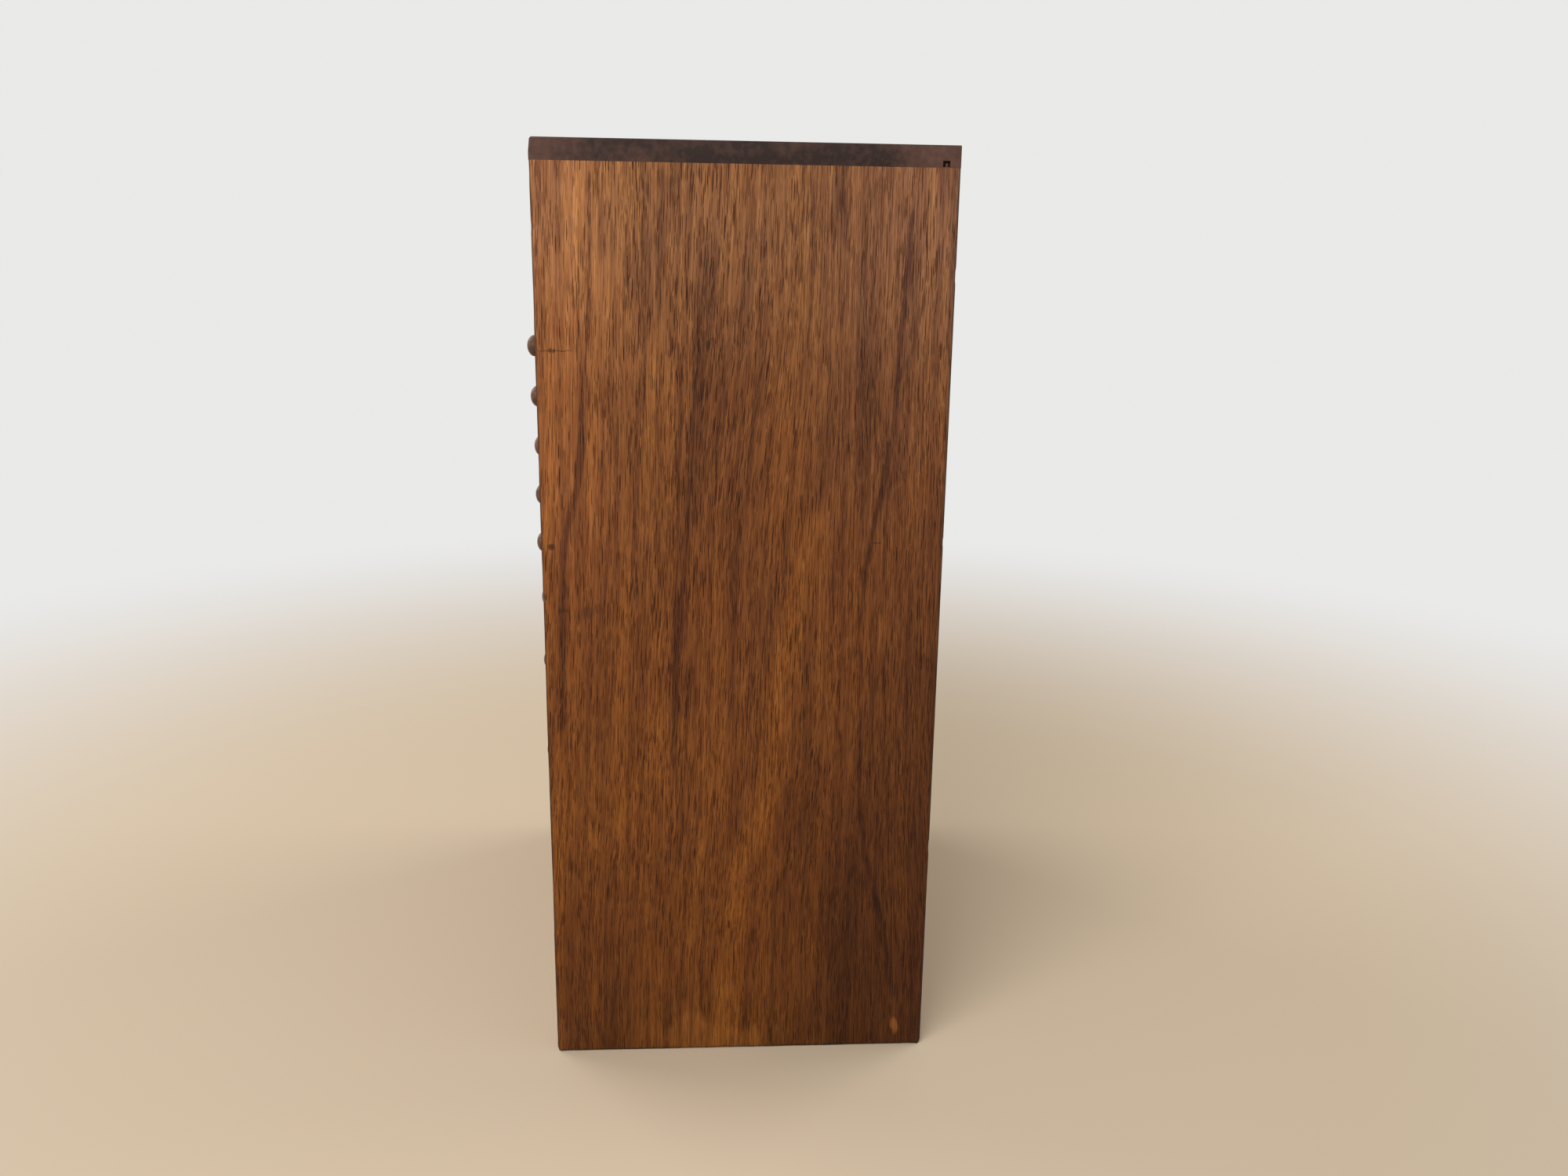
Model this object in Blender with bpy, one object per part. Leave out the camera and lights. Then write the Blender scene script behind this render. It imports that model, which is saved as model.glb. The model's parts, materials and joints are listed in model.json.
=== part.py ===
"""Watchmaker's drawer chest: a tall wooden case of twenty-three handmade drawers with turned knobs.

Metres, +Z up. The drawers open towards -Y, and the origin is the middle of the case's underside.
Left and right are as someone facing the drawers sees them, so right is +X.

The case is two sides under a laid-on top, with a bottom board and three shelves housed in the sides
and a back panel in rabbets. The shelves make four bays: one wide drawer, small drawers in three
columns, larger drawers in two columns, and one wide drawer. The lowest row of a bay slides on the
board below it. The rows above slide on the edges of their own bottoms, which run in grooves in the
sides and dividers.
"""

import math
from collections import namedtuple

import bmesh
import bpy
from mathutils import Matrix, Vector

# Case
WIDTH = 0.290
DEPTH = 0.198
SIDE_T = 0.010
TOP_T = 0.010
TOP_OVERHANG = 0.0005  # past the sides' front edges
BOTTOM_T = 0.012
SHELF_T = 0.005
DIVIDER_T = 0.008
DIVIDER_WEB = 0.003  # wood left between the grooves in a divider's two faces
BACK_T = 0.004
SIDE_HOUSING = 0.003  # how deep a side is cut for a shelf, the bottom board or the back panel
SHELF_HOUSING = 0.0015  # how deep a shelf is cut for a divider

# Worn edges of the case
TOP_WEAR_DEPTH = 0.0013  # the top's front edge is worn to a quarter of an ellipse
TOP_WEAR_HEIGHT = 0.005
FOOT_ROUND = 0.0025
ARRIS = 0.0008
ROUND_STEPS = 4

# Heights of the rows, each with its share of the gaps
TOP_ROW = 0.0685
SMALL_ROW = 0.0255
MEDIUM_ROW = 0.0365
DEEP_ROW = 0.071
BOTTOM_ROW = 0.093

# Drawers
FRONT_T = 0.008
WALL_T = 0.0045
DRAWER_BOTTOM_T = 0.003
RIM_DROP = 0.003  # how far the sides and back stop below the top of the front
REVEAL = 0.0006  # gap beside and above a front
STOP_GAP = 0.0005  # from a closed drawer to the back panel

# Knobs, each a spigot, a neck and a flattened ball
SPIGOT_R = 0.0026
SPIGOT_SHORT = 0.0015  # how far a spigot stops short of the front's inner face
NECK_STEP = 0.0008  # from the spigot out to the neck
NECK_LENGTH = 0.003
BALL_STEP = 0.002  # from the neck out to the ball's widest
BALL_LENGTH = 0.0076
KNOB_SIDES = 12
BALL_RINGS = 6

FIT = 0.0003  # clearance between pieces that touch or slide

Row = namedtuple("Row", "name height setbacks")
Bay = namedtuple("Bay", "rows columns")
Place = namedtuple("Place", "name left right low high setback on_board")
Round = namedtuple("Round", "axis test size steps")

# From the top down. A setback is how far a closed front lies behind the case's front edge,
# from left to right: the drawers are handmade, and no two stop quite alike.
BAYS = (
    Bay((Row("top_drawer", TOP_ROW, (0.0009,)),), 1),
    Bay(
        (
            Row("small_drawer_1", SMALL_ROW, (0.0008, 0.0014, 0.0001)),
            Row("small_drawer_2", SMALL_ROW, (0.0016, 0.0007, 0.0010)),
            Row("small_drawer_3", SMALL_ROW, (0.0005, 0.0012, 0.0021)),
            Row("small_drawer_4", SMALL_ROW, (0.0011, 0.0018, 0.0019)),
            Row("small_drawer_5", SMALL_ROW, (0.0013, 0.0006, 0.0018)),
        ),
        3,
    ),
    Bay(
        (
            Row("medium_drawer_1", MEDIUM_ROW, (0.0010, 0.0003)),
            Row("medium_drawer_2", MEDIUM_ROW, (0.0005, 0.0002)),
            Row("deep_drawer", DEEP_ROW, (0.0012, 0.0005)),
        ),
        2,
    ),
    Bay((Row("bottom_drawer", BOTTOM_ROW, (0.0007,)),), 1),
)
COLUMN_NAMES = {1: ("",), 2: ("_left", "_right"), 3: ("_left", "_middle", "_right")}
DIVIDER_NAMES = {1: (), 2: ("large_divider",), 3: ("small_divider_left", "small_divider_right")}
SHELF_NAMES = ("shelf_upper", "shelf_middle", "shelf_lower")

# Worked out from the sizes above
INNER_W = WIDTH - 2 * SIDE_T
HOUSED_W = INNER_W + 2 * (SIDE_HOUSING - FIT)
FRONT_Y = -DEPTH / 2
BACK_Y = DEPTH / 2
INNER_BACK_Y = BACK_Y - BACK_T
ROWS_HEIGHT = sum(row.height for bay in BAYS for row in bay.rows)
SIDE_TOP = BOTTOM_T + ROWS_HEIGHT + SHELF_T * len(SHELF_NAMES)
GROOVE_DEPTH = (DIVIDER_T - DIVIDER_WEB) / 2
NECK_R = SPIGOT_R + NECK_STEP
BALL_R = NECK_R + BALL_STEP
PAST = 10 * FIT  # how far a cutter runs past the face it opens
NEAR = FIT / 10  # two places closer than this are the same

# Colour and roughness
WOODS = {
    "case_wood": ((0.30, 0.125, 0.045), 0.5),
    "top_wood": ((0.075, 0.035, 0.022), 0.55),
    "shelf_wood": ((0.32, 0.18, 0.085), 0.65),
    "back_wood": ((0.36, 0.21, 0.10), 0.7),
    "drawer_wood": ((0.27, 0.11, 0.042), 0.5),
    "knob_wood": ((0.10, 0.045, 0.025), 0.42),
}


def clear_scene():
    for obj in list(bpy.data.objects):
        bpy.data.objects.remove(obj)


def make_woods():
    for name, (colour, roughness) in WOODS.items():
        material = bpy.data.materials.new(name)
        material.use_nodes = True
        shader = material.node_tree.nodes["Principled BSDF"]
        shader.inputs["Base Color"].default_value = (*colour, 1)
        shader.inputs["Roughness"].default_value = roughness
        shader.inputs["Metallic"].default_value = 0


def add_object(name, mesh, wood=None, parent=None):
    obj = bpy.data.objects.new(name, mesh)
    bpy.context.scene.collection.objects.link(obj)
    obj.parent = parent
    if wood and not mesh.materials:
        mesh.materials.append(bpy.data.materials[wood])
    return obj


def mesh_from(bm, name):
    bmesh.ops.recalc_face_normals(bm, faces=bm.faces)
    mesh = bpy.data.meshes.new(name)
    bm.to_mesh(mesh)
    bm.free()
    return mesh


def add_box(bm, low, high):
    """Adds a box between two corners to a bmesh."""
    low, high = Vector(low), Vector(high)
    stretch = Matrix.LocRotScale((low + high) / 2, None, high - low)
    bmesh.ops.create_cube(bm, size=1, matrix=stretch)


def cut_with(obj, mesh):
    cutter = add_object(mesh.name, mesh, parent=obj.parent)
    cutter.hide_render = True
    cutter.display_type = "WIRE"
    modifier = obj.modifiers.new(mesh.name, "BOOLEAN")
    modifier.operation = "DIFFERENCE"
    modifier.object = cutter


def cut_boxes(obj, boxes):
    """Cuts boxes that lie clear of each other out of an object, with one hidden cutter."""
    bm = bmesh.new()
    for low, high in boxes:
        add_box(bm, low, high)
    cut_with(obj, mesh_from(bm, f"{obj.name}_cutter"))


def edges_along(bm, axis, test):
    """The edges that run along an axis and whose middle passes a test."""
    found = []
    for edge in bm.edges:
        start, end = (vert.co for vert in edge.verts)
        along = abs((end - start)[axis])
        if math.isclose(along, edge.calc_length(), rel_tol=0.01) and test((start + end) / 2):
            found.append(edge)
    return found


def board(name, low, high, wood, rounds=()):
    """A straight board, with some of its edges rounded."""
    bm = bmesh.new()
    add_box(bm, low, high)
    for edge_round in rounds:
        bmesh.ops.bevel(
            bm,
            geom=edges_along(bm, edge_round.axis, edge_round.test),
            offset=edge_round.size,
            segments=edge_round.steps,
            profile=0.5,
            affect="EDGES",
            material=-1,
        )
    return add_object(name, mesh_from(bm, name), wood)


def column_walls(columns):
    """The left and right wall of each column of a bay, from left to right."""
    width = (INNER_W - (columns - 1) * DIVIDER_T) / columns
    starts = [-INNER_W / 2 + n * (width + DIVIDER_T) for n in range(columns)]
    return [(start, start + width) for start in starts]


def divider_spans(columns):
    """The left and right face of each divider of a bay, from left to right."""
    walls = column_walls(columns)
    return [(here[1], there[0]) for here, there in zip(walls, walls[1:])]


def row_places(bay, row, low, high):
    """The drawers' places in one row."""
    on_board = row is bay.rows[-1]
    columns = zip(COLUMN_NAMES[bay.columns], column_walls(bay.columns), row.setbacks)
    return [
        Place(row.name + suffix, left, right, low, high, setback, on_board)
        for suffix, (left, right), setback in columns
    ]


def lay_out():
    """Every drawer's place, every shelf's underside, and every bay's floor, ceiling and columns."""
    places, shelves, bays = [], [], []
    z = SIDE_TOP
    for bay in BAYS:
        ceiling = z
        for row in bay.rows:
            places += row_places(bay, row, z - row.height, z)
            z -= row.height
        bays.append((z, ceiling, bay.columns))
        if len(shelves) < len(SHELF_NAMES):
            z -= SHELF_T
            shelves.append(z)
    return places, shelves, bays


def groove(place, wall, reach):
    """The groove in a wall for a drawer's bottom, cut towards +X or -X as reach says."""
    left, right = sorted((wall - math.copysign(PAST, reach), wall + reach))
    high = place.low + DRAWER_BOTTOM_T + 2 * FIT
    return (left, FRONT_Y - PAST, place.low), (right, INNER_BACK_Y, high)


def make_side(name, hand, places, shelves):
    """A side, its hand being 1 on the right and -1 on the left."""
    inner, outer = hand * INNER_W / 2, hand * WIDTH / 2
    left, right = sorted((inner, outer))
    feet = Round(0, lambda mid: mid.z < NEAR, FOOT_ROUND, ROUND_STEPS)
    arrises = Round(2, lambda mid: abs(mid.x - outer) < NEAR, ARRIS, 1)
    side = board(
        name,
        (left, FRONT_Y, 0),
        (right, BACK_Y, SIDE_TOP - FIT),
        "case_wood",
        (feet, arrises),
    )

    def housing(low, high, front, back):
        left, right = sorted((inner - hand * PAST, inner + hand * SIDE_HOUSING))
        return (left, front, low), (right, back, high)

    cuts = [housing(-PAST, BOTTOM_T + FIT, FRONT_Y - PAST, INNER_BACK_Y)]
    for z in shelves:
        cuts.append(housing(z - FIT, z + SHELF_T + FIT, FRONT_Y - PAST, INNER_BACK_Y))
    for place in places:
        wall = place.right if hand > 0 else place.left
        if not place.on_board and abs(wall - inner) < NEAR:
            cuts.append(groove(place, wall, hand * GROOVE_DEPTH))
    cut_boxes(side, cuts)
    cut_boxes(side, [housing(-PAST, SIDE_TOP + PAST, INNER_BACK_Y - FIT, BACK_Y + PAST)])


def make_top():
    """The top, drawn from the side with its worn front edge and extruded across the case."""
    front, top = FRONT_Y - TOP_OVERHANG, SIDE_TOP + TOP_T
    wear_height = min(TOP_WEAR_HEIGHT, TOP_T - ARRIS)
    outline = [(BACK_Y, top), (BACK_Y, SIDE_TOP), (front, SIDE_TOP)]
    for step in range(ROUND_STEPS + 1):
        angle = math.pi / 2 * step / ROUND_STEPS
        y = front + TOP_WEAR_DEPTH * (1 - math.cos(angle))
        outline.append((y, top - wear_height * (1 - math.sin(angle))))
    bm = bmesh.new()
    end = bm.faces.new([bm.verts.new((-WIDTH / 2, y, z)) for y, z in outline])
    made = bmesh.ops.extrude_face_region(bm, geom=[end], use_keep_orig=True)
    moved = [item for item in made["geom"] if isinstance(item, bmesh.types.BMVert)]
    bmesh.ops.translate(bm, verts=moved, vec=(WIDTH, 0, 0))
    add_object("top_board", mesh_from(bm, "top_board"), "top_wood")


def make_bottom_and_back():
    """Both stop short of the sides' rounded feet, so that the feet show alone."""
    board(
        "bottom_board",
        (-HOUSED_W / 2, FRONT_Y + FOOT_ROUND, 0),
        (HOUSED_W / 2, INNER_BACK_Y - FIT, BOTTOM_T),
        "case_wood",
    )
    board(
        "back_panel",
        (-HOUSED_W / 2, INNER_BACK_Y, FOOT_ROUND),
        (HOUSED_W / 2, BACK_Y, SIDE_TOP - FIT),
        "back_wood",
    )


def make_shelf(name, z, bays):
    """A shelf, cut above and below for the dividers that stand on it and reach up to it."""
    shelf = board(
        name,
        (-HOUSED_W / 2, FRONT_Y, z),
        (HOUSED_W / 2, INNER_BACK_Y - FIT, z + SHELF_T),
        "shelf_wood",
    )
    cuts = []
    for floor, ceiling, columns in bays:
        if abs(ceiling - z) < NEAR:
            low, high = z - PAST, z + SHELF_HOUSING
        elif abs(floor - z - SHELF_T) < NEAR:
            low, high = floor - SHELF_HOUSING, floor + PAST
        else:
            continue
        for left, right in divider_spans(columns):
            cuts.append(((left - FIT, FRONT_Y - PAST, low), (right + FIT, BACK_Y, high)))
    cut_boxes(shelf, cuts)


def make_dividers(floor, ceiling, columns, places):
    """The dividers of one bay, grooved on both faces for the drawers beside them."""
    for name, (left, right) in zip(DIVIDER_NAMES[columns], divider_spans(columns)):
        divider = board(
            name,
            (left, FRONT_Y, floor - SHELF_HOUSING + FIT),
            (right, INNER_BACK_Y - FIT, ceiling + SHELF_HOUSING - FIT),
            "shelf_wood",
        )
        cuts = []
        for place in places:
            if place.on_board or not floor < place.low < ceiling:
                continue
            if abs(place.right - left) < NEAR:
                cuts.append(groove(place, left, GROOVE_DEPTH))
            if abs(place.left - right) < NEAR:
                cuts.append(groove(place, right, -GROOVE_DEPTH))
        cut_boxes(divider, cuts)


def make_case(places, shelves, bays):
    make_side("side_right", 1, places, shelves)
    make_side("side_left", -1, places, shelves)
    make_top()
    make_bottom_and_back()
    for name, z in zip(SHELF_NAMES, shelves):
        make_shelf(name, z, bays)
    for floor, ceiling, columns in bays:
        make_dividers(floor, ceiling, columns, places)


def raise_faces(bm, faces, height):
    """Extrudes faces up to a height, and leaves none of them inside the solid."""
    made = bmesh.ops.extrude_face_region(bm, geom=faces)
    moved = [item for item in made["geom"] if isinstance(item, bmesh.types.BMVert)]
    for vert in moved:
        vert.co.z = height
    bmesh.ops.delete(bm, geom=faces, context="FACES")
    return [item for item in made["geom"] if isinstance(item, bmesh.types.BMFace)]


def drawer_mesh(name, width, length, height, ear):
    """A drawer about the middle of its front's lower edge: a bottom, with ears if it runs in
    grooves, and the front, sides and back that stand on it."""
    half = width / 2
    rows = (0, FRONT_T, length - WALL_T, length)
    columns = [-half, -half + WALL_T, half - WALL_T, half]
    if ear:
        columns = [-half - ear, *columns, half + ear]
    bm = bmesh.new()
    grid = [[bm.verts.new((x, y, 0)) for x in columns] for y in rows]
    for near, far in zip(grid, grid[1:]):
        for n in range(len(columns) - 1):
            bm.faces.new((near[n], near[n + 1], far[n + 1], far[n]))

    made = bmesh.ops.extrude_face_region(bm, geom=list(bm.faces), use_keep_orig=True)
    floor = [item for item in made["geom"] if isinstance(item, bmesh.types.BMFace)]
    for face in floor:
        for vert in face.verts:
            vert.co.z = DRAWER_BOTTOM_T

    def on_wall(face):
        mid = face.calc_center_median()
        inside = abs(mid.x) < half - WALL_T and FRONT_T < mid.y < length - WALL_T
        return abs(mid.x) < half and not inside

    rim = raise_faces(bm, [face for face in floor if on_wall(face)], height - RIM_DROP)
    front = [face for face in rim if face.calc_center_median().y < FRONT_T]
    raise_faces(bm, front, height)
    return mesh_from(bm, name)


def bore_mesh(name, height):
    """The hole through a drawer front for a knob's spigot, its flats a fit's gap off the spigot."""
    radius = (SPIGOT_R + FIT) / math.cos(math.pi / KNOB_SIDES)
    middle = Matrix.Translation((0, FRONT_T / 2, height))
    bm = bmesh.new()
    bmesh.ops.create_cone(
        bm,
        cap_ends=True,
        segments=KNOB_SIDES,
        radius1=radius,
        radius2=radius,
        depth=FRONT_T + 2 * PAST,
        matrix=middle @ Matrix.Rotation(math.pi / 2, 4, "X"),
    )
    return mesh_from(bm, name)


def knob_mesh():
    """A turned knob along -Y, its shoulder a fit's gap off the drawer front at y = 0."""
    spigot_end = FRONT_T - SPIGOT_SHORT
    middle = -NECK_LENGTH - BALL_LENGTH / 2
    profile = [(0, spigot_end), (SPIGOT_R, spigot_end), (SPIGOT_R, -FIT), (NECK_R, -FIT)]
    start = math.asin(NECK_R / BALL_R)
    for step in range(BALL_RINGS + 1):
        angle = start + (math.pi - start) * step / BALL_RINGS
        profile.append((BALL_R * math.sin(angle), middle + BALL_LENGTH / 2 * math.cos(angle)))
    bm = bmesh.new()
    verts = [bm.verts.new((radius, y, 0)) for radius, y in profile]
    edges = [bm.edges.new(pair) for pair in zip(verts, verts[1:])]
    bmesh.ops.spin(
        bm,
        geom=verts + edges,
        cent=(0, 0, 0),
        axis=(0, 1, 0),
        angle=2 * math.pi,
        steps=KNOB_SIDES,
        use_merge=True,
    )
    bmesh.ops.remove_doubles(bm, verts=bm.verts, dist=NEAR)
    mesh = mesh_from(bm, "knob")
    mesh.shade_smooth()
    mesh.set_sharp_from_angle(angle=math.radians(50))
    return mesh


def make_drawer(place, knob):
    """A drawer and its knob on an empty, which is what slides."""
    front = FRONT_Y + place.setback
    slide = add_object(f"{place.name}_slide", None)
    slide.location = ((place.left + place.right) / 2, front, place.low + FIT)
    width = place.right - place.left - 2 * REVEAL
    length = INNER_BACK_Y - STOP_GAP - front
    height = place.high - REVEAL - place.low - FIT
    ear = 0 if place.on_board else REVEAL + GROOVE_DEPTH - FIT
    mesh = drawer_mesh(place.name, width, length, height, ear)
    drawer = add_object(place.name, mesh, "drawer_wood", slide)
    cut_with(drawer, bore_mesh(f"{place.name}_bore", height / 2))
    handle = add_object(f"{place.name}_knob", knob, "knob_wood", slide)
    handle.location = (0, 0, height / 2)


def main():
    clear_scene()
    make_woods()
    places, shelves, bays = lay_out()
    make_case(places, shelves, bays)
    knob = knob_mesh()
    for place in places:
        make_drawer(place, knob)


main()
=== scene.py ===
"""Looks of the watchmaker's drawer chest: worn boards, turned knobs and stained wood on a pale stage.

Metres, in the frame's own axes: +Z is up, the drawers open towards -Y, and right is +X, as
someone facing the drawers sees it. The photograph shows the right side.
"""

import json
import math
from collections import namedtuple

import bmesh
import bpy
from mathutils import Matrix, Vector, noise


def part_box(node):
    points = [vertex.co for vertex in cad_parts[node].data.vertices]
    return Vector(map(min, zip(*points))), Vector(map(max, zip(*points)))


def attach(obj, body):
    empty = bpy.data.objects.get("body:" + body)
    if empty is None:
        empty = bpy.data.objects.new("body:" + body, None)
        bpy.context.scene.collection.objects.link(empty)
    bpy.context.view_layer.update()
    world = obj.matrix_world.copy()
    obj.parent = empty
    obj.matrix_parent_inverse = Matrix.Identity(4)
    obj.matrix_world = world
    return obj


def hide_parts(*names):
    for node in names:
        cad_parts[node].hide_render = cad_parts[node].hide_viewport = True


bl_info = {
    "name": "Drawer chest looks",
    "version": (1, 0, 0),
    "blender": (4, 5, 0),
    "location": "3D View > Sidebar > Chest",
    "description": "Dresses the packed drawer chest and sets its stage",
    "category": "Object",
}

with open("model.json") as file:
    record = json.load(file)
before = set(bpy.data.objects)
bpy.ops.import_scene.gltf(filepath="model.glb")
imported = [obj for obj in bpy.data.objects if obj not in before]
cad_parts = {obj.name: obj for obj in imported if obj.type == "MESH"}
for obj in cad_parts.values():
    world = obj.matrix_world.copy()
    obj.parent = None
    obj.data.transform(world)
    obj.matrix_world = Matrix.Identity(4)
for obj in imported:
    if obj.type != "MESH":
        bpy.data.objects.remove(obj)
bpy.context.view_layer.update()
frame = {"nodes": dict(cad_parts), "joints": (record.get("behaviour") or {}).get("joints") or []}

MM = 0.001
X, Y, Z = range(3)

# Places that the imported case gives
CASE_LOW, CASE_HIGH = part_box("side_right")
FRONT_Y, BACK_Y = CASE_LOW.y, CASE_HIGH.y
OUTER_X = CASE_HIGH.x
SIDE_TOP = CASE_HIGH.z
TOP_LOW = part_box("top_board")[0].z
DEPTH = BACK_Y - FRONT_Y

# Sizes of the drawers and knobs, as the solids have them
FRONT_T = 8 * MM
WALL_T = 4.5 * MM
DRAWER_BOTTOM_T = 3 * MM
RIM_DROP = 3 * MM  # how far the walls stop below the top of the front
EAR = 2.8 * MM  # how far a bottom reaches into the groove beside it
SPIGOT_R = 2.6 * MM
SPIGOT_LENGTH = 6.5 * MM
BORE_R = 2.95 * MM
NECK_R = 3.4 * MM
NECK_GAP = 0.3 * MM  # between a knob's neck and the drawer front
BALL_MIDDLE = 6.8 * MM  # from the drawer front to the middle of the knob's ball
ON_BOARD = ("top_drawer", "small_drawer_5", "deep_drawer", "bottom_drawer")  # no ears on these

# Finish of the drawers and knobs
TONE_STEP = 0.618034  # from one drawer front to the next, so that neighbours differ
SPIGOT_CHAMFER = 0.4 * MM
# The cove of a knob's neck: wider than the neck and ahead of the drawer front, in millimetres
COVE = ((0, 0.8), (-0.25, 1.3), (-0.35, 2.1), (-0.2, 2.9), (0.15, 3.55))

# Wear of the case
TOP_SEAM = 0.03 * MM  # between a side and the top
STRIP = 2.2 * MM  # beside a side's outer edges, where it is worn
CHAMFER = 0.8 * MM  # least wear of a side's upright edges
FOOT_CHAMFER = 0.5 * MM
CHIP_CUT = 1.4  # of an edge cut back for a chip one deep
TOP_ROUND = 0.45 * MM
TOP_CORNER = 1.2 * MM  # rounding of the top's upper front edge
TOP_KNEE = 3.5 * MM  # above the top's underside, where its front starts to lean back

# The notch low in the top's right end: two legs under a bar
NOTCH_FRONT, NOTCH_BACK = FRONT_Y + 189.5 * MM, FRONT_Y + 192.9 * MM
NOTCH_LEG = 1.35 * MM
NOTCH_LOW, NOTCH_BAR, NOTCH_TOP = (TOP_LOW + height * MM for height in (0.3, 1.9, 3.1))

# The back's boards and nails
BACK_JOINTS = (-46 * MM, 49 * MM)
BACK_JOINT_HALF = 0.6 * MM
NAIL_INSET = 5 * MM
NAIL_STEP = 78 * MM  # at most, down the sides
NAIL_COLUMN = 92 * MM  # from the back's middle
NAIL_PAIR = 14 * MM  # from the back's middle, at its top and foot
SHELF_NAIL_HEIGHTS = (107.5 * MM, 256.5 * MM, 389 * MM)
NAIL_JOG = 3 * MM
NAIL_FLATNESS = 0.22

# The floor
FLOOR_RADIUS = 9
FLOOR_DROP = 0.1 * MM
FADE_START, FADE_END = 0.35, 1.25  # from the chest's middle, where the floor fades into the backdrop

JOIN = 1e-6  # points closer than this are one point
FLAT = math.radians(0.5)  # faces that meet at less than this are one face
SHARP = math.radians(32)  # edges sharper than this are rounded
CRISP = math.radians(40)  # edges sharper than this aren't shaded over

DRAWERS = [joint["child"] for joint in frame["joints"]]
SHELVES = ("shelf_upper", "shelf_middle", "shelf_lower")
DIVIDERS = ("small_divider_left", "small_divider_right", "large_divider")

# Marks on a side, in millimetres. A streak has its points, each a height above the floor and a place
# from the front edge, then half its width and its strength. A spot has its place from the front edge,
# its height, half its size each way and its strength.
RIGHT_STREAKS = (
    (((432, 83), (400, 80), (340, 75), (300, 72), (262, 68), (220, 65), (195, 64)), 7, 0.2),
    (((195, 64), (150, 66), (104, 66)), 4, 0.2),
    (((390, 78), (340, 75), (285, 72)), 8, 0.28),
    (((262, 67.5), (222, 64.5), (182, 64)), 5, 0.4),
    (((385, 76), (300, 72), (190, 68)), 22, 0.12),
    (((390, 86), (340, 86), (300, 85), (250, 82), (200, 80)), 3, 0.12),
    (((295, 61), (262, 59), (225, 58)), 5, 0.13),
    (
        ((462, 27), (400, 26), (345, 22), (310, 18), (290, 13), (270, 10), (230, 9), (180, 8)), 3, 0.32
    ),
    (((462, 61), (420, 60), (380, 52), (340, 48), (300, 46), (250, 45)), 2.6, 0.26),
    (((345, 97), (300, 96), (240, 94), (180, 95)), 2.6, 0.14),
    (((458, 122), (420, 123), (370, 120)), 4, 0.11),
    (((445, 176), (400, 174), (330, 170), (290, 163), (255, 158), (235, 157), (200, 160)), 2.2, 0.4),
    (((205, 160), (150, 160), (110, 165), (70, 175), (26, 183)), 2.4, 0.34),
    (((372, 180), (300, 172), (250, 166)), 1.4, 0.12),
    (((435, 177), (390, 175)), 6, 0.12),
    (((462, 63), (420, 61)), 7, 0.2),
    (((425, 82), (380, 83)), 7, 0.22),
    (((435, 57), (388, 56)), 8, 0.16),
    (((450, 34), (412, 33)), 6, 0.18),
    (((428, 47), (392, 46)), 6, 0.15),
    (((460, 142), (422, 139)), 7, 0.17),
    (((350, 140), (300, 138)), 9, 0.12),
    (((430, 175), (300, 171)), 7, 0.1),
    (((405, 176), (310, 174)), 26, 0.08),
    (((365, 77), (285, 73)), 8, 0.36),
    (((235, 174), (110, 180)), 28, 0.1),
    (((298, 145), (238, 144)), 3.2, 0.14),
    (((118, 33), (80, 33)), 2.6, 0.16),
    (((182, 41), (138, 40)), 2.2, 0.12),
    (((152, 188), (100, 186)), 6, 0.14),
    (((48, 139), (3, 139)), 7, 0.13),
    (((60, 34), (16, 31)), 4, 0.15),
    (((40, 57), (3, 57)), 4, 0.12),
)
RIGHT_PALE_STREAKS = (
    (((380, 64), (340, 62), (295, 60)), 5, 0.11),
    (((302, 134), (255, 126), (220, 118), (160, 116), (110, 99), (60, 94), (3, 90)), 11, 0.23),
    (((292, 133), (252, 132)), 3, 0.1),
    (((224, 117), (152, 116)), 2.8, 0.3),
    (((122, 98), (36, 95)), 4.5, 0.24),
    (((462, 20), (400, 18)), 7, 0.09),
    (((462, 105), (428, 104)), 6, 0.07),
    (((172, 44), (96, 44)), 3, 0.13),
    (((112, 73), (45, 72)), 5, 0.12),
)
RIGHT_SPOTS = (
    (9, 374.7, 11, 0.45, 0.6),
    (7.2, 374.9, 1.1, 1.3, 0.75),
    (8.9, 374.7, 0.9, 1.1, 0.8),
    (4.9, 280.4, 2.1, 2.0, 0.8),
    (1.0, 255, 1.3, 2.6, 0.8),
    (10, 248, 3.4, 1.3, 0.5),
    (22, 247, 3.6, 4.2, 0.45),
    (27, 249, 2.4, 3.4, 0.35),
    (81.4, 378, 1.3, 3.0, 0.75),
    (83.2, 381, 1.4, 1.0, 0.5),
    (164.4, 282.7, 3.2, 0.5, 0.7),
    (143, 262, 3.0, 6, 0.3),
    (78.7, 53, 1.8, 1.8, 0.4),
)
RIGHT_PALE_SPOTS = (
    (70, 7, 11, 17, 0.42),
    (76, 7, 15, 16, 0.38),
    (86, 3, 26, 14, 0.4),
    (92, 18, 9, 30, 0.1),
    (106, 6, 6, 10, 0.32),
    (183, 11.4, 3.2, 6, 1.0),
)
LEFT_STREAKS = (
    (((440, 118), (360, 112), (250, 121), (160, 117)), 6, 0.26),
    (((330, 41), (240, 47), (150, 44)), 4, 0.24),
    (((420, 160), (370, 157), (310, 162)), 3, 0.3),
    (((140, 80), (60, 84)), 5, 0.25),
)
LEFT_PALE_STREAKS = ((((270, 76), (160, 74)), 6, 0.16),)
LEFT_SPOTS = (
    (120, 301, 1.5, 3, 0.6),
    (188, 96, 2.2, 1.6, 0.6),
    (54, 402, 5, 0.5, 0.5),
)
LEFT_PALE_SPOTS = ((60, 10, 16, 13, 0.26),)

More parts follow.
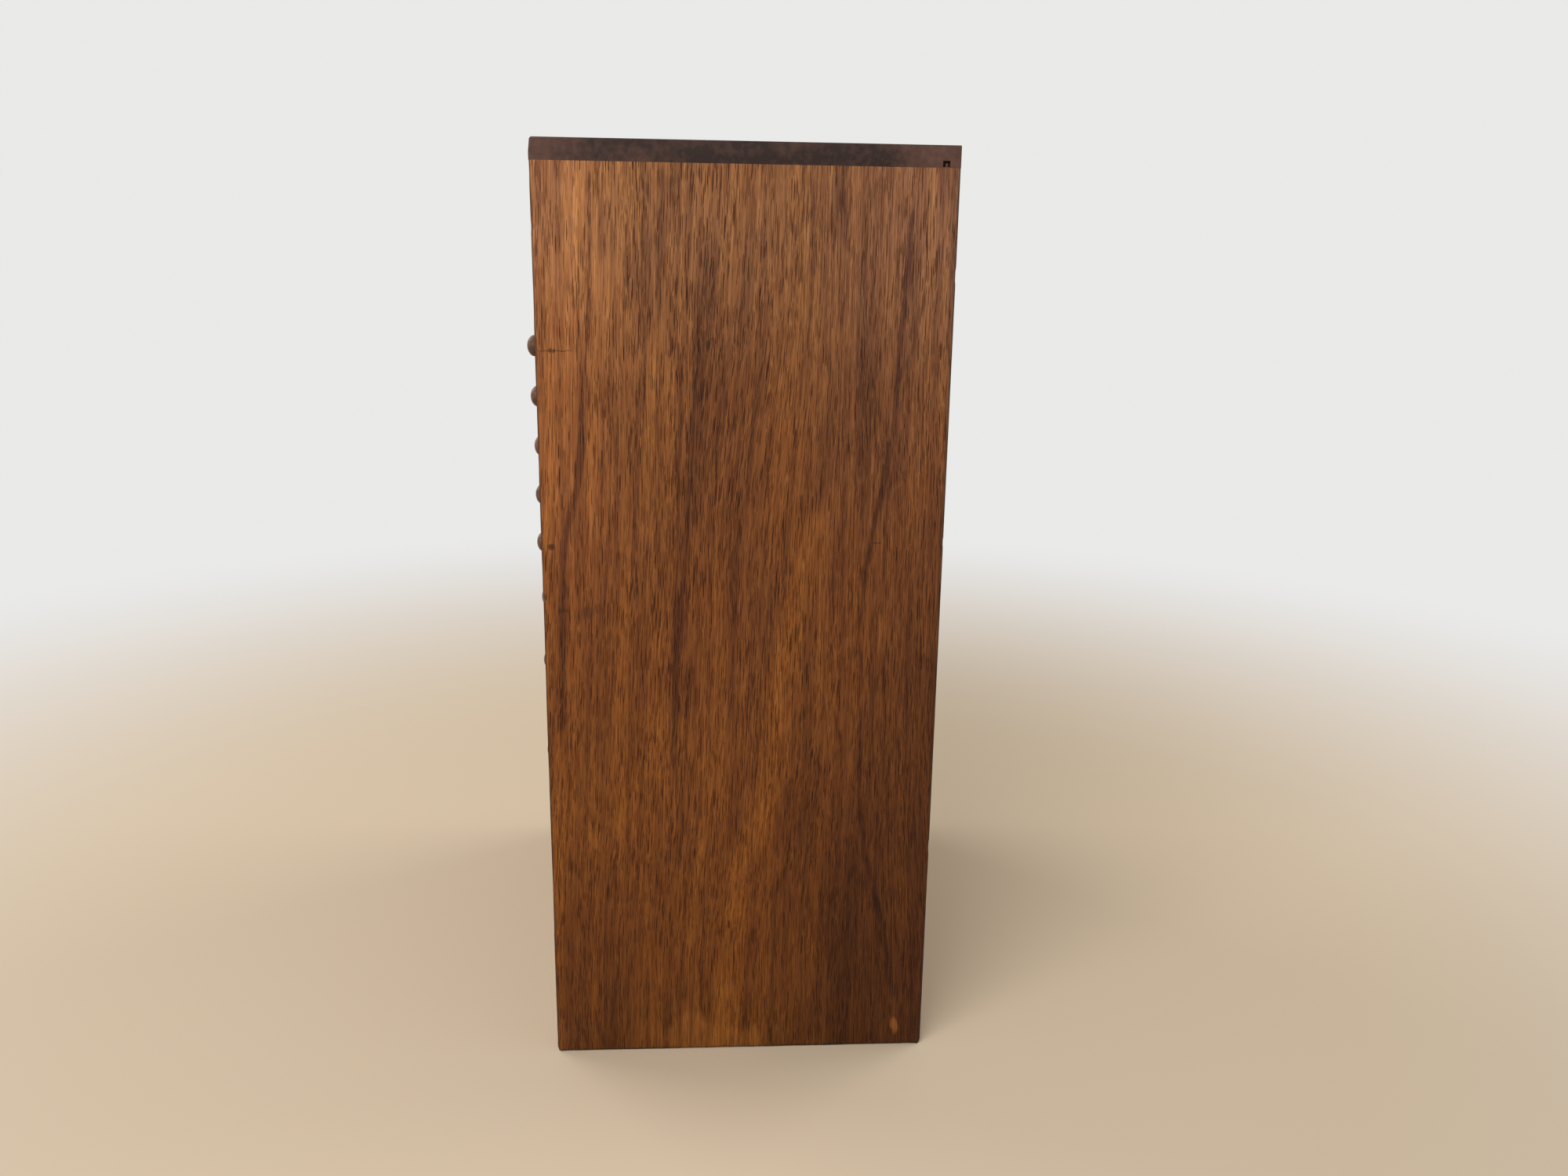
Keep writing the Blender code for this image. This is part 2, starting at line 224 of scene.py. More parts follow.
RIGHT_MARKS = (RIGHT_STREAKS, RIGHT_PALE_STREAKS, RIGHT_SPOTS, RIGHT_PALE_SPOTS)
LEFT_MARKS = (LEFT_STREAKS, LEFT_PALE_STREAKS, LEFT_SPOTS, LEFT_PALE_SPOTS)

# What a streak of strength 1 does to the wood's tone, and how it crowds the pores
DARK_STREAKS = -1.2
PALE_STREAKS = 1.6
DARK_CROWDING = 1.3

# What the stain and painted shade leave of the colour, by the share of the side's height: darker
# towards the floor, partly real stain and partly painted shade for the light falling off downwards
SHADE_AND_STAIN_BY_HEIGHT = (
    (0.0, (0.57, 0.44, 0.22)),
    (0.13, (0.665, 0.505, 0.255)),
    (0.34, (0.73, 0.56, 0.312)),
    (0.57, (0.70, 0.55, 0.37)),
    (0.77, (0.815, 0.71, 0.555)),
    (0.93, (1, 1, 1)),
)

# Parts of a side with a tint of their own, in millimetres from where each starts to where it is full
Zone = namedtuple("Zone", "from_front height tint")
NEAR_HIGH = Zone((52, 14), (160, 320), (1.32, 1.30, 1.32))
FAR_HIGH = Zone((115, 185), (200, 360), (0.95, 1.0, 1.3))
FAR_LOW = Zone((95, 175), (360, 70), (0.54, 0.51, 0.62))
NEAR_LOW = Zone((60, 12), (130, 40), (0.86, 0.83, 0.95))

# What other things leave of the colour, or paint over it
CLOUDED = (0.84, 0.74, 0.66)
RUBBED = (2.45, 2.75, 2.9)
# Dark marks on a side, and the painted shade along its outer face's edges
GRIME_AND_EDGE_SHADE = (0.03, 0.014, 0.009)
INSIDE_PORE = (0.11, 0.055, 0.028)
BARE_PORE = (0.10, 0.05, 0.026)
TOP_PORE = (0.02, 0.012, 0.01)
KNOB_PORE = (0.02, 0.01, 0.007)
HANDLED = (0.42, 0.36, 0.33)
FRONT_GRIME = (0.40, 0.34, 0.31)
RUST = (0.13, 0.052, 0.024)

# Chips out of a side's outer edges: at the back or not, height, half length, depth in millimetres
RIGHT_CHIPS = (
    (True, 412, 3.5, 0.7),
    (True, 283, 2.5, 0.4),
    (True, 118, 4.0, 0.5),
    (False, 255, 2.5, 0.5),
    (False, 96, 4.5, 0.35),
    (False, 431, 3.0, 0.3),
)
LEFT_CHIPS = (
    (True, 366, 4.0, 0.5),
    (False, 190, 3.5, 0.5),
    (False, 52, 3.0, 0.6),
)


def number(name, description, default, **limits):
    return bpy.props.FloatProperty(name=name, description=description, default=default, **limits)


def length(name, description, default):
    return number(name, description, default, min=0, unit="LENGTH")


def paint(name, description, default):
    return bpy.props.FloatVectorProperty(
        name=name, description=description, default=default, min=0, max=1, size=3, subtype="COLOR"
    )


class ChestSizes(bpy.types.PropertyGroup):
    """Sizes of the wear and the small parts"""

    edge_round: length("Edge rounding", "Rounding of the boards' edges", 0.3 * MM)
    arris_wear: length(
        "Arris wear",
        "How much further than their chamfer the sides' outer edges are worn in places",
        0.45 * MM,
    )
    top_wear: length(
        "Top edge wear", "How far the top board's front edge is worn back at most", 1.4 * MM
    )
    notch_depth: length(
        "Notch depth", "Depth of the small notch in the top board's right end", 3 * MM
    )
    seam: length("Drawer seams", "Gap between the boards of a drawer", 0.08 * MM)
    back_joint: length(
        "Back joints", "Depth of the joints between the boards of the back", 0.7 * MM
    )
    nail_radius: length("Nail radius", "Radius of the nail heads in the back", 1.7 * MM)
    knob_steps: bpy.props.IntProperty(
        name="Knob steps", description="Steps round a turned knob", default=32, min=8, max=64
    )


class ChestWoods(bpy.types.PropertyGroup):
    """Colours of the woods"""

    side_light: paint("Side, light", "Palest stain on the sides", (0.53, 0.25, 0.083))
    side_middle: paint("Side, middle", "Usual stain on the sides", (0.365, 0.165, 0.067))
    side_dark: paint("Side, dark", "Darkest bands on the sides", (0.18, 0.077, 0.039))
    fine: paint("Fine lines", "What the dark fine lines leave of the stain", (0.46, 0.35, 0.26))
    pore: paint("Pores", "What the open pores leave of the stain", (0.18, 0.115, 0.08))
    worn: paint("Worn", "Stain rubbed thin", (0.30, 0.125, 0.035))
    top_light: paint("Top, light", "Redder parts of the top", (0.125, 0.062, 0.046))
    top_dark: paint("Top, dark", "Darkest parts of the top", (0.0265, 0.0152, 0.0126))
    front_light: paint("Front, light", "Palest stain on the drawers", (0.30, 0.12, 0.043))
    front_dark: paint("Front, dark", "Darkest stain on the drawers", (0.075, 0.026, 0.012))
    bare_light: paint("Bare, light", "Palest unstained wood", (0.42, 0.26, 0.135))
    bare_dark: paint("Bare, dark", "Darkest unstained wood", (0.20, 0.105, 0.05))
    knob_light: paint("Knob, light", "Palest parts of the knobs", (0.19, 0.092, 0.052))
    knob_dark: paint("Knob, dark", "Darkest parts of the knobs", (0.05, 0.023, 0.014))
    iron: paint("Nails", "Dull iron of the nail heads", (0.09, 0.075, 0.065))


class ChestStage(bpy.types.PropertyGroup):
    """The floor, the light and the camera"""

    floor: paint("Floor", "The plain floor", (0.62, 0.50, 0.36))
    backdrop: paint("Backdrop", "What the floor fades into", (0.82, 0.82, 0.815))
    sky: number("Sky", "Strength of the even light from all round", 0.42, min=0)
    key: number("Key light", "Softbox above the right side", 14, min=0, unit="POWER")
    fill: number("Fill lights", "Each of the other softboxes", 10, min=0, unit="POWER")
    lens: number("Lens", "Focal length of the camera", 29.196, subtype="DISTANCE_CAMERA")
    camera: bpy.props.FloatVectorProperty(
        name="Camera", description="Where the camera stands", default=(0.756404, -0.018216, 0.41747),
        size=3, subtype="TRANSLATION",
    )
    pitch: number("Pitch", "How far the camera looks up", math.radians(-14.46804), subtype="ANGLE")
    yaw: number("Yaw", "How far the camera turns left", math.radians(-3.46321), subtype="ANGLE")


class Wire:
    """One socket of a shader. A sum written on wires adds the Math nodes that work it out."""

    def __init__(self, tree, socket=None):
        self.tree = tree
        self.socket = socket

    def node(self, kind, settings=None, sockets=None, output=0):
        """Adds a node, first its settings and then its sockets' values or links. Returns the wire
        from one of its outputs."""
        node = self.tree.nodes.new(kind)
        for key, value in (settings or {}).items():
            if key == "stops":
                elements = node.color_ramp.elements
                elements.remove(elements[1])
                elements[0].position, elements[0].color = value[0]
                for place, colour in value[1:]:
                    elements.new(place).color = colour
            else:
                setattr(node, key, value)
        for key, value in (sockets or {}).items():
            if isinstance(value, Wire):
                self.tree.links.new(value.socket, node.inputs[key])
            else:
                node.inputs[key].default_value = value
        return Wire(self.tree, node.outputs[output]) if node.outputs else None

    def beside(self, output):
        """Another output of the node that this wire comes from."""
        return Wire(self.tree, self.socket.node.outputs[output])

    def math(self, operation, *values):
        return self.node("ShaderNodeMath", {"operation": operation}, dict(enumerate(values)))

    def vector(self, operation, other):
        return self.node("ShaderNodeVectorMath", {"operation": operation}, {0: self, 1: other})

    def __add__(self, other):
        return self.math("ADD", self, other)

    __radd__ = __add__

    def __sub__(self, other):
        return self.math("SUBTRACT", self, other)

    def __rsub__(self, other):
        return self.math("SUBTRACT", other, self)

    def __mul__(self, other):
        return self.math("MULTIPLY", self, other)

    __rmul__ = __mul__

    def __truediv__(self, other):
        return self.math("DIVIDE", self, other)

    def __abs__(self):
        return self.math("ABSOLUTE", self)


def rgba(colour):
    return colour if isinstance(colour, Wire) else (*colour, 1)


def grey(value):
    return (value, value, value)


def blend(mask, under, over, how="MIX"):
    """One colour laid over another where a mask says."""
    wire = next(item for item in (mask, under, over) if isinstance(item, Wire))
    sockets = {0: mask, 6: rgba(under), 7: rgba(over)}
    return wire.node("ShaderNodeMix", {"data_type": "RGBA", "blend_type": how}, sockets, 2)


def smooth(value, low, high):
    """0 below one value and 1 past another, with an easy curve between."""
    return value.node(
        "ShaderNodeMapRange",
        {"interpolation_type": "SMOOTHSTEP"},
        {"Value": value, "From Min": low, "From Max": high},
    )


def ramp(value, stops):
    stops = [(place, rgba(colour)) for place, colour in stops]
    return value.node("ShaderNodeValToRGB", {"stops": stops}, {"Fac": value})


def greatest(first, *others):
    for other in others:
        first = first.math("MAXIMUM", first, other)
    return first


def least(first, *others):
    for other in others:
        first = first.math("MINIMUM", first, other)
    return first


def mottle(at, repeats, detail):
    """Soft random patches about 0.5, with so many repeats to the metre along each axis."""
    place = at.vector("MULTIPLY", repeats)
    return at.node("ShaderNodeTexNoise", {}, {"Vector": place, "Scale": 1, "Detail": detail})


def swing(value, by):
    """Turns a pattern from 0 to 1 into one about 0, so far from its lowest to its highest."""
    return (value - 0.5) * by


def along(axis, repeats_across, repeats_along):
    """Repeats to the metre of a pattern that is drawn out along an axis."""
    return tuple(repeats_along if n == axis else repeats_across for n in range(3))


def swayed(at, axis, repeats, by):
    """Pushes a pattern from side to side across the grain."""
    push = swing(mottle(at, repeats, 1), by)
    return at.vector(
        "ADD", at.node("ShaderNodeCombineXYZ", {}, {n: push for n in range(3) if n != axis})
    )


class Grain(namedtuple("Grain", "bands streaks flecks lines pores")):
    """The patterns in a board's figure."""

    def tone(self, middle, **swings):
        """A tone that some of the patterns swing about its middle."""
        for pattern, by in swings.items():
            middle = middle + swing(getattr(self, pattern), by)
        return middle


def open_pores(at, repeats, crowd):
    """Thin dark strokes of many lengths, one to a stretched cell, fewer where the grain is clear."""
    cells = at.node(
        "ShaderNodeTexVoronoi",
        {"distance": "MINKOWSKI"},
        {"Vector": at.vector("MULTIPLY", repeats), "Scale": 1, "Exponent": 3.5},
        "Distance",
    )
    lot = cells.node("ShaderNodeSeparateColor", {}, {0: cells.beside("Color")}, "Red")
    reach = 0.22 + lot.beside("Green") * 0.26
    return (1 - smooth(cells, reach * 0.7, reach)) * smooth(lot + crowd, 0.55, 0.7)


def grain_of(at, axis, shift, crowding=0):
    """The figure of a board along an axis: bands, streaks, flecks, fine lines and open pores, which
    can be crowded together in places."""
    at = at.vector("ADD", shift)
    at = swayed(at, axis, along(axis, 9, 4.5), 8 * MM)
    at = swayed(at, axis, along(axis, 45, 20), 1.3 * MM)
    bands = smooth(mottle(at, along(axis, 60, 5), 3), 0.36, 0.64)
    streaks = smooth(mottle(at, along(axis, 300, 7), 2), 0.3, 0.7)
    flecks = mottle(at, along(axis, 260, 60), 2)
    lines = mottle(at, along(axis, 1500, 40), 3)
    crowd = swing(mottle(at, along(axis, 130, 8), 3), 1.6) + crowding
    pores = greatest(
        open_pores(at, along(axis, 2300, 70), crowd + 0.3),
        open_pores(at, along(axis, 2700, 105), crowd + 0.5) * 0.6,
    )
    return Grain(bands, streaks, flecks, lines, pores)


def new_material(name):
    """An empty material, and the wire that its nodes start from."""
    material = bpy.data.materials.new(name)
    material.use_nodes = True
    material.node_tree.nodes.clear()
    return material, Wire(material.node_tree)


def object_place(start):
    return start.node("ShaderNodeTexCoord", output="Object")


def axis_of(at, axis):
    return at.node("ShaderNodeSeparateXYZ", {}, {0: at}, axis)


def end_in_shader(start, colour, roughness, height, relief, specular=0.16, metallic=0):
    """Closes a material: its colour, its roughness and the height of its surface."""
    normal = start.node("ShaderNodeBump", {}, {"Height": height, "Distance": relief, "Strength": 0.8})
    sockets = {"Base Color": colour, "Roughness": roughness, "Metallic": metallic, "Normal": normal}
    sockets["Specular IOR Level"] = specular
    shader = start.node("ShaderNodeBsdfPrincipled", {}, sockets)
    start.node("ShaderNodeOutputMaterial", {}, {"Surface": shader})


def streak_mask(height, from_front, streaks):
    """Where long marks lie on a side, each given by points from the top down."""
    total = None
    for points, half_width, strength in streaks:
        stops = [(z * MM / SIDE_TOP, grey(d * MM / DEPTH)) for z, d in reversed(points)]
        path = ramp(height / SIDE_TOP, stops)
        middle = path.node("ShaderNodeSeparateColor", {}, {0: path}) * DEPTH
        half = half_width * MM
        mask = 1 - smooth(abs(from_front - middle), half * 0.15, half)
        low, high = points[-1][0] * MM, points[0][0] * MM
        fade = min(0.3 * (high - low), 12 * MM)
        mask = mask * smooth(height, low, low + fade) * smooth(height, high, high - fade) * strength
        total = mask if total is None else greatest(total, mask)
    return total


def spot_mask(height, from_front, spots):
    """Where small marks lie on a side."""
    total = None
    for place, level, half_depth, half_height, strength in spots:
        across = (from_front - place * MM) / (half_depth * MM)
        up = (height - level * MM) / (half_height * MM)
        mask = (1 - smooth(across * across + up * up, 0.1, 1.1)) * strength
        total = mask if total is None else greatest(total, mask)
    return total


def leaning(at, from_front, height):
    """Leans a side's grain: towards the back going up, with a shoulder in its upper middle, and the
    other way at the foot's back."""
    lean = (height - SIDE_TOP / 2) * math.tan(math.radians(1.7)) * smooth(from_front, 165 * MM, 85 * MM)
    shoulder = smooth(from_front, 60 * MM, 110 * MM) * smooth(from_front, 160 * MM, 115 * MM)
    shoulder = shoulder * smooth(height, 265 * MM, 430 * MM) * (8 * MM)
    foot = smooth(height, 15 * MM, 200 * MM) * smooth(from_front, 140 * MM, 185 * MM) * (9 * MM)
    return at.vector("ADD", at.node("ShaderNodeCombineXYZ", {}, {Y: foot - lean - shoulder}))


def zone_mask(zone, from_front, height):
    """Where one of a side's zones lies."""
    across, up = ([place * MM for place in span] for span in (zone.from_front, zone.height))
    return smooth(from_front, *across) * smooth(height, *up)


def inside_mask(at, outward, depth):
    """Where a side is bare: all but its outer face, its back edge and a strip behind its front edge."""
    bleed = depth + swing(mottle(at, (30, 30, 120), 3), 8 * MM)
    return (
        (1 - smooth(outward, OUTER_X - 1.3 * MM, OUTER_X - 1.0 * MM))
        * smooth(bleed, FRONT_Y + 1.5 * MM, FRONT_Y + 5 * MM)
        * (1 - smooth(depth, BACK_Y - 1.4 * MM, BACK_Y - 0.6 * MM))
    )


def side_wood(name, hand, woods, shift, streaks, pale_streaks, spots, pale_spots):
    """A side's wood: stained outside, bare inside, with the marks that years left on it and painted
    shade that darkens it towards the floor and along its outer face's edges.
    """
    material, start = new_material(name)
    at = object_place(start)
    outward = axis_of(at, X) * hand
    depth = axis_of(at, Y)
    height = axis_of(at, Z)
    from_front = depth - FRONT_Y
    wander = swing(mottle(at, (150, 150, 40), 2), 3.5 * MM)
    tremble = swing(mottle(at, (60, 300, 300), 2), 1.2 * MM)
    smear = swing(mottle(at, (60, 110, 70), 3), 11 * MM)

    dark = streak_mask(height, from_front + wander, streaks)
    pale = streak_mask(height, from_front + wander, pale_streaks)
    blot = spot_mask(height + tremble, from_front + tremble, spots)
    rubbed = spot_mask(height + smear, from_front + smear * 0.5, pale_spots)

    cloud = mottle(at, (14, 14, 8), 3)
    soft = from_front + swing(cloud, 40 * MM)
    near_high = zone_mask(NEAR_HIGH, soft, height)
    crowding = dark * DARK_CROWDING - near_high * 0.2
    grain = grain_of(leaning(at, from_front, height), Z, shift, crowding)
    broad = grain.tone(0.5, bands=-0.26, streaks=0.4, flecks=0.3)
    broad = broad + dark * DARK_STREAKS + pale * PALE_STREAKS
    stained = ramp(
        broad, [(0.0, woods.side_dark), (0.5, woods.side_middle), (1.0, woods.side_light)]
    )
    fine = ramp(grain.tone(0.5, lines=2.2), [(0.0, woods.fine), (1.0, grey(1))])
    stained = blend(1, stained, fine, "MULTIPLY")
    stained = blend(smooth(cloud, 0.42, 0.68) * 0.4, stained, CLOUDED, "MULTIPLY")
    # Painted shade and stain: the side darkens towards the floor, partly its own stain and partly shade
    # painted in for the light falling off downwards
    stained = blend(1, stained, ramp(height / SIDE_TOP, SHADE_AND_STAIN_BY_HEIGHT), "MULTIPLY")
    stained = blend(near_high, stained, NEAR_HIGH.tint, "MULTIPLY")
    for zone in (FAR_HIGH, FAR_LOW, NEAR_LOW):
        stained = blend(zone_mask(zone, soft, height), stained, zone.tint, "MULTIPLY")
    stained = blend(rubbed, stained, RUBBED, "MULTIPLY")
    filled = (0.85 + 0.15 * smooth(height, 0.02, 0.25)) * (1 - rubbed)
    stained = blend(grain.pores * filled, stained, woods.pore, "MULTIPLY")
    # Painted shade: a thin dark line along the outer face's front, back and bottom edges stands in for
    # the shadow on the worn arrises and the contact shadow at the floor; the blots are dark marks on
    # the wood
    edge = least(from_front, BACK_Y - depth, height)
    on_face = smooth(outward, OUTER_X - 1.6 * MM, OUTER_X - 0.9 * MM)
    darker_edges = (1 - smooth(edge, 0.2 * MM, 1.3 * MM)) * on_face
    stained = blend(greatest(blot, darker_edges * 0.8), stained, GRIME_AND_EDGE_SHADE)

    bare = ramp(
        grain.tone(0.5, streaks=0.5, lines=0.6) + swing(cloud, 0.8),
        [(0.1, woods.bare_dark), (0.9, woods.bare_light)],
    )
    bare = blend(grain.pores * 0.5, bare, INSIDE_PORE)
    inside = inside_mask(at, outward, depth)
    colour = blend(inside, stained, bare)
    roughness = 0.5 + grain.pores * 0.2 + inside * 0.2 + swing(grain.lines, 0.15)
    end_in_shader(start, colour, roughness, grain.lines, 0.16 * MM)
    return material


def top_wood(woods):
    """The top board: nearly black stain, redder towards its front and back edges."""
    material, start = new_material("top_dark_wood")
    at = object_place(start)
    grain = grain_of(at, X, (0.7, 0.2, 1.3))
    depth = axis_of(at, Y)
    cloud = mottle(at, (34, 34, 50), 3)
    near_front = smooth(depth, FRONT_Y + 66 * MM, FRONT_Y + 8 * MM)
    near_back = smooth(depth, BACK_Y - 45 * MM, BACK_Y - 8 * MM)
    tone = 0.03 + near_front * 0.5 + near_back * 0.75 + swing(cloud, 1.3)
    tone = grain.tone(tone, streaks=0.25, lines=0.3)
    colour = ramp(tone, [(0.0, woods.top_dark), (0.9, woods.top_light)])
    colour = blend(grain.pores * 0.1, colour, TOP_PORE)
    roughness = 0.55 + swing(cloud, 0.3) + grain.pores * 0.1
    end_in_shader(start, colour, roughness, grain.lines, 0.1 * MM)
    return material


def bare_wood(name, axis, shift, woods, stained_front=False, tint=(1, 1, 1)):
    """Unstained wood gone brown with age, stained at the case's front if asked."""
    material, start = new_material(name)
    at = object_place(start)
    grain = grain_of(at, axis, shift)
    cloud = mottle(at, (18, 18, 18), 3)
    tone = grain.tone(0.5, bands=-0.3, streaks=0.4, lines=0.5) + swing(cloud, 0.7)
    light, dark = (
        tuple(a * b for a, b in zip(colour, tint)) for colour in (woods.bare_light, woods.bare_dark)
    )
    colour = ramp(tone, [(0.1, dark), (0.9, light)])
    colour = blend(grain.pores * 0.55, colour, BARE_PORE)
    if stained_front:
        bleed = axis_of(at, Y) + swing(mottle(at, (120, 30, 120), 3), 6 * MM)
        stained = ramp(tone, [(0.1, woods.side_dark), (0.9, woods.side_middle)])
        stained = blend(grain.pores * 0.7, stained, woods.pore, "MULTIPLY")
        colour = blend(smooth(bleed, FRONT_Y + 8 * MM, FRONT_Y + 4.5 * MM), colour, stained)
    roughness = 0.66 + grain.pores * 0.15 + swing(grain.lines, 0.1)
    end_in_shader(start, colour, roughness, grain.lines, 0.16 * MM)
    return material


def front_wood(name, half_width, half_height, woods):
    """A drawer front's stained wood, darker at its edges and polished round its knob."""
    material, start = new_material(name)
    at = object_place(start)
    board = start.node("ShaderNodeAttribute", {"attribute_name": "board"}, output="Fac")
    apart = at.node("ShaderNodeCombineXYZ", {}, {X: board * 0.37, Y: board * 0.9, Z: board * 1.7})
    moved = at.vector("ADD", apart)
    grain = grain_of(moved, X, (0.4, 0.9, 0.1))
    from_knob = start.node("ShaderNodeUVMap", {"uv_map": "from_knob"})
    side, up = axis_of(from_knob, X), axis_of(from_knob, Y)
    cloud = mottle(moved, (22, 22, 30), 3)
    tone = grain.tone(0.46 + swing(board, 0.22), bands=-0.3, streaks=0.4, lines=0.5)
    tone = tone + swing(cloud, 0.5)
    colour = ramp(tone, [(0.05, woods.front_dark), (0.95, woods.front_light)])
    far = side.math("SQRT", side * side + up * up)
    handled = 1 - smooth(far + swing(cloud, 10 * MM), 5 * MM, 15 * MM)
    colour = blend(handled * 0.6, colour, HANDLED, "MULTIPLY")
    to_edge = least(half_width - abs(side), half_height - abs(up)) + swing(cloud, 2 * MM)
    darker_edges = 1 - smooth(to_edge, 0, 3.2 * MM)
    colour = blend(darker_edges * 0.62, colour, FRONT_GRIME, "MULTIPLY")
    colour = blend(grain.pores * 0.85, colour, woods.pore, "MULTIPLY")
    worn_edge = (1 - smooth(to_edge, -0.6 * MM, 0.5 * MM)) * smooth(cloud, 0.48, 0.6)
    colour = blend(worn_edge * 0.5, colour, woods.worn)
    roughness = 0.5 + grain.pores * 0.2 - handled * 0.12 + swing(grain.lines, 0.12)
    end_in_shader(start, colour, roughness, grain.lines, 0.16 * MM)
    return material


def knob_wood(woods):
    """Dark turned wood in soft patches, lighter and darker."""
    material, start = new_material("knob_dark_wood")
    at = object_place(start)
    grain = grain_of(at, Y, (0.15, 0.6, 0.8))
    cloud = mottle(at, (260, 260, 260), 3)
    tone = grain.tone(0.48, streaks=0.5, lines=0.4) + swing(cloud, 0.9)
    colour = ramp(tone, [(0.05, woods.knob_dark), (0.95, woods.knob_light)])
    colour = blend(grain.pores * 0.5, colour, KNOB_PORE)
    roughness = 0.45 + swing(cloud, 0.25)
    end_in_shader(start, colour, roughness, grain.lines, 0.06 * MM, 0.2)
    return material


def nail_iron(woods):
    """Dull iron with a brown bloom."""
    material, start = new_material("nail_iron")
    at = object_place(start)
    bloom = smooth(mottle(at, (700, 700, 700), 3), 0.4, 0.65)
    colour = blend(bloom, woods.iron, RUST)
    end_in_shader(start, colour, 0.45 + bloom * 0.35, bloom, 0.05 * MM, 0.5, 0.7 - bloom * 0.6)
    return material


def joined_copy(node):
    """A CAD node's shape as a bmesh of whole flat faces."""
    mesh = frame["nodes"][node].data.copy()
    for name in ("custom_normal", "sharp_edge", "sharp_face"):
        if name in mesh.attributes:
            mesh.attributes.remove(mesh.attributes[name])
    bm = bmesh.new()
    bm.from_mesh(mesh)
    bpy.data.meshes.remove(mesh)
    bmesh.ops.remove_doubles(bm, verts=bm.verts, dist=JOIN)
    bmesh.ops.dissolve_limit(
        bm, angle_limit=FLAT, verts=bm.verts, edges=bm.edges, use_dissolve_boundaries=False
    )
    return bm


def round_edges(bm, edges, size, segments=2):
    bmesh.ops.bevel(
        bm, geom=list(edges), offset=size, offset_type="OFFSET", segments=segments, profile=0.5,
        affect="EDGES", material=-1, clamp_overlap=False,
    )


def sharp_edges(bm, seam=None):
    """The sharp edges that stand out, such as a board's, and not those in a groove or at the height
    of a seam, where two boards meet."""

    def in_seam(edge):
        return seam is not None and all(abs(vert.co.z - seam) < JOIN for vert in edge.verts)

    return [
        edge
        for edge in bm.edges
        if edge.is_manifold and edge.is_convex and edge.calc_face_angle() > SHARP and not in_seam(edge)
    ]


def slice_faces(bm, faces, axis, places):
    """Cuts some of a mesh's faces across an axis, so that they can bend there."""
    normal = Vector((0, 0, 0))
    normal[axis] = 1
    faces = set(faces)
    for place in places:
        geom = set(faces)
        for face in faces:
            geom.update(face.edges)
            geom.update(face.verts)
        made = bmesh.ops.bisect_plane(
            bm, geom=list(geom), dist=JOIN, plane_co=normal * place, plane_no=normal
        )
        faces = {item for item in made["geom"] if isinstance(item, bmesh.types.BMFace)}
    return faces


def spread(low, high, step):
    """Places from one value to another, evenly and at most a step apart, without the ends."""
    count = max(1, math.ceil((high - low) / step))
    return [low + (high - low) * n / count for n in range(1, count)]


def linked(name, data):
    """Puts data in the scene as an object."""
    obj = bpy.data.objects.new(name, data)
    bpy.context.scene.collection.objects.link(obj)
    return obj


def mesh_object(name, bm, materials):
    """Puts a bmesh in the scene as an object."""
    mesh = bpy.data.meshes.new(name)
    bm.to_mesh(mesh)
    bm.free()
    for material in materials:
        mesh.materials.append(material)
    return linked(name, mesh)


def new_piece(name, bm, body, nodes, materials):
    """Makes a mesh an object that rides on a body and stands for CAD nodes."""
    obj = mesh_object(name, bm, materials)
    obj.data.shade_smooth()
    obj.data.set_sharp_from_angle(angle=CRISP)
    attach(obj, body)
    if nodes:
        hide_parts(*nodes)


def add_plank(bm, low, high, edge_round, material=0):
    """Adds a board with rounded edges to a bmesh."""
    low, high = Vector(low), Vector(high)
    known = set(bm.faces)
    stretch = Matrix.LocRotScale((low + high) / 2, None, high - low)
    made = bmesh.ops.create_cube(bm, size=1, matrix=stretch)
    round_edges(bm, {edge for vert in made["verts"] for edge in vert.link_edges}, edge_round)
    for face in bm.faces:
        if face not in known:
            face.material_index = material


def wear_of(place, seed):
    """How worn an edge is at a place along it, from 0 to 1."""
    slow = noise.noise((place * 22, seed, 0.5))
    quick = noise.noise((place * 130, seed, 7.5))
    return min(1, max(0, 0.35 + 0.7 * slow + 0.35 * quick))


def slice_worn_edges(bm, outer, hand):
    """Cuts a side's faces beside its outer edges, finely enough to be worn."""
    planes = ((Y, FRONT_Y + STRIP), (Y, BACK_Y - STRIP), (X, outer - hand * STRIP), (Z, STRIP))
    for axis, place in planes:
        slice_faces(bm, bm.faces, axis, [place])

    def beside(face, axis, edge):
        return all(
            abs(vert.co.x - outer) < STRIP + JOIN and abs(vert.co[axis] - edge) < STRIP + JOIN
            for vert in face.verts
        )

    for edge in (FRONT_Y, BACK_Y):
        faces = [face for face in bm.faces if beside(face, Y, edge)]
        slice_faces(bm, faces, Z, spread(STRIP, SIDE_TOP, 2 * MM))
    faces = [face for face in bm.faces if beside(face, Z, 0)]
    slice_faces(bm, faces, Y, spread(FRONT_Y + STRIP, BACK_Y - STRIP, 3 * MM))


def chip_depth(chips, at_back, height):
    """How deep the chips in one of a side's upright edges are at a height."""
    total = 0
    for chip_at_back, level, half_length, deepest in chips:
        if chip_at_back == at_back:
            off = (height - level * MM) / (half_length * MM)
            total += CHIP_CUT * deepest * MM * max(0, 1 - off * off)
    return total


def push_in(vert, hand, axis, turn, short):
    """Moves a point off a worn edge, as far in as it is back."""
    if short > 0:
        vert.co.x -= hand * short / 2
        vert.co[axis] += turn * short / 2


